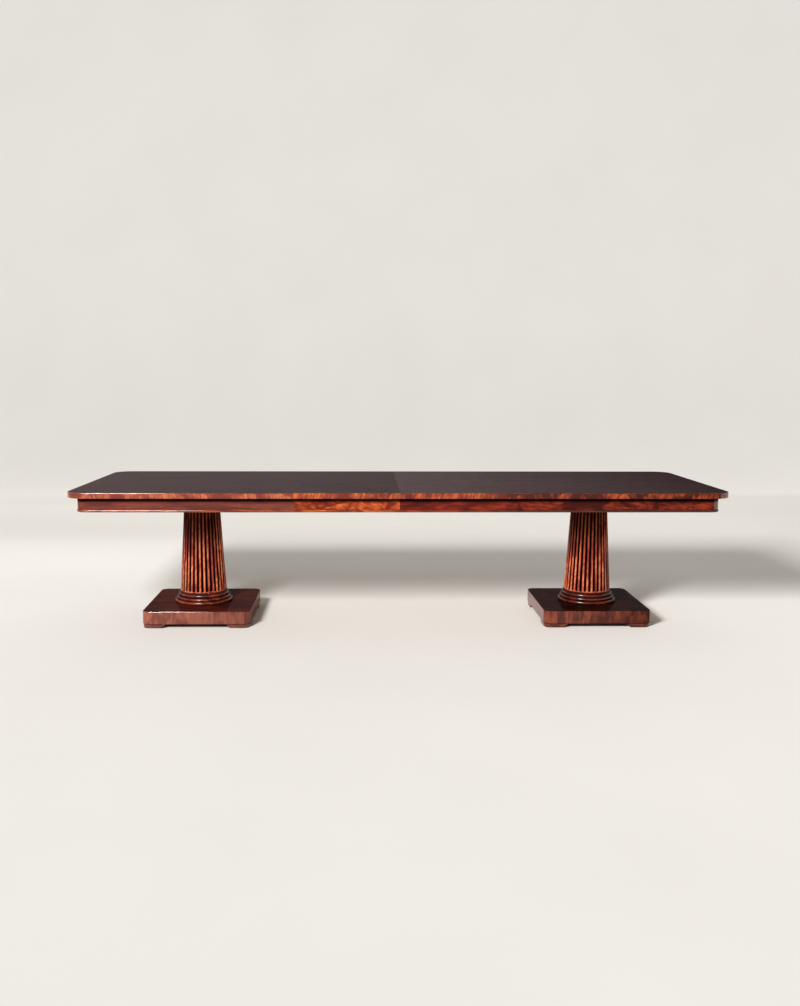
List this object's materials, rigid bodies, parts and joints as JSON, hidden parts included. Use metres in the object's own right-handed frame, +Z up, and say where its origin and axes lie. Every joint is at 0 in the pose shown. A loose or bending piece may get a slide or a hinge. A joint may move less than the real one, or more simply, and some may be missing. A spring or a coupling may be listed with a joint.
{
  "type": "double pedestal dining table",
  "caption": "Extension dining table with rounded top corners and beaded apron on fluted tapered column pedestals with square plinths; drop-in leaves between halves on geared slides.",
  "frame": {"origin": "middle of the table's plan, on the floor under the glides", "axes": "+X along the table's length towards the right half, +Y across to the back, +Z up"},
  "size_m": [3.3534, 1.118, 0.762],
  "materials": {
    "mahogany_top": "gloss lacquer on figured mahogany veneer",
    "mahogany_apron": "gloss lacquer on mahogany",
    "mahogany_turned": "gloss lacquer on turned mahogany",
    "mahogany_plinth": "gloss lacquer on mahogany",
    "maple_frame": "clear matt on maple",
    "steel_gear": "milled, oiled",
    "steel_fixing": "zinc plated",
    "nylon_glide": "moulded"
  },
  "bodies": {
    "centre_slide": {"centre_rail_back": "maple_frame", "centre_rail_front": "maple_frame", "pinion_axles": "steel_fixing"},
    "left_half": {"left_apron_back": "mahogany_apron", "left_apron_bead": "mahogany_apron", "left_apron_corners": "mahogany_apron", "left_apron_end": "mahogany_apron", "left_apron_front": "mahogany_apron", "left_base_ring": "mahogany_turned", "left_column": "mahogany_turned", "left_cross_battens": "maple_frame", "left_feet": "mahogany_plinth", "left_glides": "nylon_glide", "left_platform": "maple_frame", "left_plinth": "mahogany_plinth", "left_racks": "steel_gear", "left_rail_back": "maple_frame", "left_rail_front": "maple_frame", "left_rod_nuts": "steel_fixing", "left_screws": "steel_fixing", "left_slide_stops": "maple_frame", "left_tie_rod": "steel_fixing", "left_top_panel": "mahogany_top"},
    "right_half": {"right_apron_back": "mahogany_apron", "right_apron_bead": "mahogany_apron", "right_apron_corners": "mahogany_apron", "right_apron_end": "mahogany_apron", "right_apron_front": "mahogany_apron", "right_base_ring": "mahogany_turned", "right_column": "mahogany_turned", "right_cross_battens": "maple_frame", "right_feet": "mahogany_plinth", "right_glides": "nylon_glide", "right_platform": "maple_frame", "right_plinth": "mahogany_plinth", "right_racks": "steel_gear", "right_rail_back": "maple_frame", "right_rail_front": "maple_frame", "right_rod_nuts": "steel_fixing", "right_screws": "steel_fixing", "right_slide_stops": "maple_frame", "right_tie_rod": "steel_fixing", "right_top_panel": "mahogany_top"},
    "leaf_1": {"leaf_1_apron_back": "mahogany_apron", "leaf_1_apron_front": "mahogany_apron", "leaf_1_beads": "mahogany_apron", "leaf_1_cleats": "maple_frame", "leaf_1_panel": "mahogany_top", "leaf_1_pegs": "maple_frame"},
    "leaf_2": {"leaf_2_apron_back": "mahogany_apron", "leaf_2_apron_front": "mahogany_apron", "leaf_2_beads": "mahogany_apron", "leaf_2_cleats": "maple_frame", "leaf_2_panel": "mahogany_top", "leaf_2_pegs": "maple_frame"},
    "pinion_front": {"pinion_front": "steel_gear"},
    "pinion_back": {"pinion_back": "steel_gear"}
  },
  "joints": [
    {"name": "left_half_slide", "type": "slide", "parent": "centre_slide", "child": "left_half", "axis": [-1, 0, 0], "range_m": [0, 0.06]},
    {"name": "right_half_slide", "type": "slide", "parent": "centre_slide", "child": "right_half", "axis": [1, 0, 0], "range_m": [0, 0.06]},
    {"name": "front_pinion_turn", "type": "hinge", "parent": "centre_slide", "child": "pinion_front", "pos_m": [0, -0.35, 0.706], "axis": [0, 0, -1], "range_deg": [0, 191]},
    {"name": "back_pinion_turn", "type": "hinge", "parent": "centre_slide", "child": "pinion_back", "pos_m": [0, 0.35, 0.706], "axis": [0, 0, 1], "range_deg": [0, 191]},
    {"name": "leaf_1_lift", "type": "slide", "parent": "centre_slide", "child": "leaf_1", "axis": [0, 0, 1], "range_m": [0, 0.3]},
    {"name": "leaf_2_lift", "type": "slide", "parent": "centre_slide", "child": "leaf_2", "axis": [0, 0, 1], "range_m": [0, 0.3]}
  ],
  "couplings": [
    {"joint": "right_half_slide", "follows": "left_half_slide", "ratio": 1},
    {"joint": "front_pinion_turn", "follows": "left_half_slide", "rad_per_m": 55.556},
    {"joint": "back_pinion_turn", "follows": "left_half_slide", "rad_per_m": 55.556}
  ]
}
